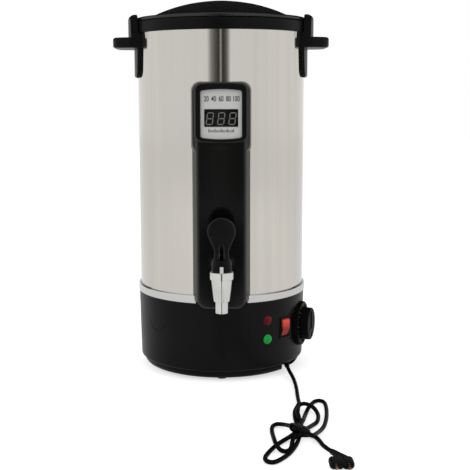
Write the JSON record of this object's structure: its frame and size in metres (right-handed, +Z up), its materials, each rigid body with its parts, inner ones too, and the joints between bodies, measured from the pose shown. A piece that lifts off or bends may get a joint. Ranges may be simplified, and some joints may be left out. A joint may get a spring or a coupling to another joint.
{
  "type": "candle wax melter",
  "caption": "Upright wax melting urn: steel tank in a brushed steel shell, moulded base with dial, lamps and rocker, front cover with display, lever tap, lift-off lid and tied mains cord.",
  "frame": {"origin": "on the floor at the centre of the circle of feet, under the urn's own axis", "axes": "+Z up along the urn's axis, -Y out of the front through the tap, +X to the right-hand handle as seen from the front"},
  "size_m": [0.2814, 0.526, 0.4857],
  "materials": {
    "brushed_shell": "vertically brushed stainless steel",
    "tank_steel": "drawn stainless steel",
    "bright_trim": "polished",
    "tap_chrome": "bright chrome plate",
    "black_plastic": "fine satin moulding",
    "black_gloss": "high gloss",
    "silver_plate": "silver face plate",
    "dark_window": "smoked display window",
    "display_board": "circuit board and potting",
    "red_lens": "translucent red",
    "green_lens": "translucent green",
    "rocker_red": "translucent red rocker",
    "rubber": "soft rubber",
    "silicone": "silicone",
    "cord_sheath": "smooth cord sheath",
    "insulation": "mineral fibre mat",
    "cast_plate": "cast aluminium",
    "element_tube": "heat-tinted tube",
    "ceramic": "ceramic and phenolic insulation",
    "screw_steel": "zinc-plated steel",
    "brass": "bare brass"
  },
  "bodies": {
    "urn": {"feet": "rubber", "base_plate": "black_plastic", "base_screws": "screw_steel", "base_housing": "black_plastic", "trim_ring": "bright_trim", "outer_shell": "brushed_shell", "top_collar": "black_plastic", "inner_tank": "tank_steel", "insulation_wrap": "insulation", "heating_plate": "cast_plate", "heating_element": "element_tube", "thermal_cutout": "ceramic", "handle_screws": "screw_steel", "front_panel": "black_plastic", "cover_screws": "screw_steel", "display_bezel": "black_gloss", "display_label": "silver_plate", "display_window": "dark_window", "display_module": "display_board", "temperature_probe": "tank_steel", "tap_body": "tap_chrome", "tap_washers": "silicone", "tap_spacer": "tap_chrome", "tap_locknut": "tap_chrome", "tap_bonnet": "black_plastic", "thermostat_body": "ceramic", "thermostat_screws": "screw_steel", "thermostat_bezel": "black_plastic", "lamp_clip_red": "screw_steel", "lamp_clip_green": "screw_steel", "rocker_housing": "black_plastic", "terminal_block": "ceramic", "cord_grip": "rubber", "cord_hank": "cord_sheath", "cord_tie": "cord_sheath", "plug_body": "rubber", "plug_pins": "brass", "right_handle": "black_plastic", "left_handle": "black_plastic", "pilot_lamp_red": "red_lens", "pilot_lamp_green": "green_lens", "power_cord": "cord_sheath", "plug_lead": "cord_sheath", "probe_lead": "silicone"},
    "lid": {"lid_cover": "black_plastic", "lid_liner": "tank_steel", "lid_seal": "silicone", "lid_screws": "screw_steel"},
    "tap_lever": {"tap_lever": "black_plastic", "tap_pin": "screw_steel"},
    "tap_stem": {"tap_stem": "tap_chrome", "tap_seal": "silicone", "tap_spring": "screw_steel"},
    "knob": {"thermostat_knob": "black_plastic", "thermostat_spindle": "screw_steel"},
    "rocker": {"rocker": "rocker_red"}
  },
  "joints": [
    {"name": "lid_lift", "type": "slide", "parent": "urn", "child": "lid", "axis": [0, 0, 1], "range_m": [0, 0.25]},
    {"name": "tap_lever_tilt", "type": "hinge", "parent": "urn", "child": "tap_lever", "pos_m": [0, -0.1725, 0.1698], "axis": [1, 0, 0], "range_deg": [0, 25]},
    {"name": "tap_stem_lift", "type": "slide", "parent": "urn", "child": "tap_stem", "axis": [0, 0, 1], "range_m": [0, 0.00278], "stiffness_N_per_m": 50, "springref_m": -0.005, "deforming": ["tap_spring"]},
    {"name": "thermostat_turn", "type": "hinge", "parent": "urn", "child": "knob", "pos_m": [0.10873, -0.03744, 0.06], "axis": [0.9455, -0.3256, 0], "range_deg": [-270, 0]},
    {"name": "rocker_tilt", "type": "hinge", "parent": "urn", "child": "rocker", "pos_m": [0.08038, -0.07391, 0.0634], "axis": [0.6769, 0.7361, 0], "range_deg": [-20, 0]}
  ],
  "couplings": [
    {"joint": "tap_lever_tilt", "follows": "tap_stem_lift", "rad_per_m": 156.9}
  ]
}
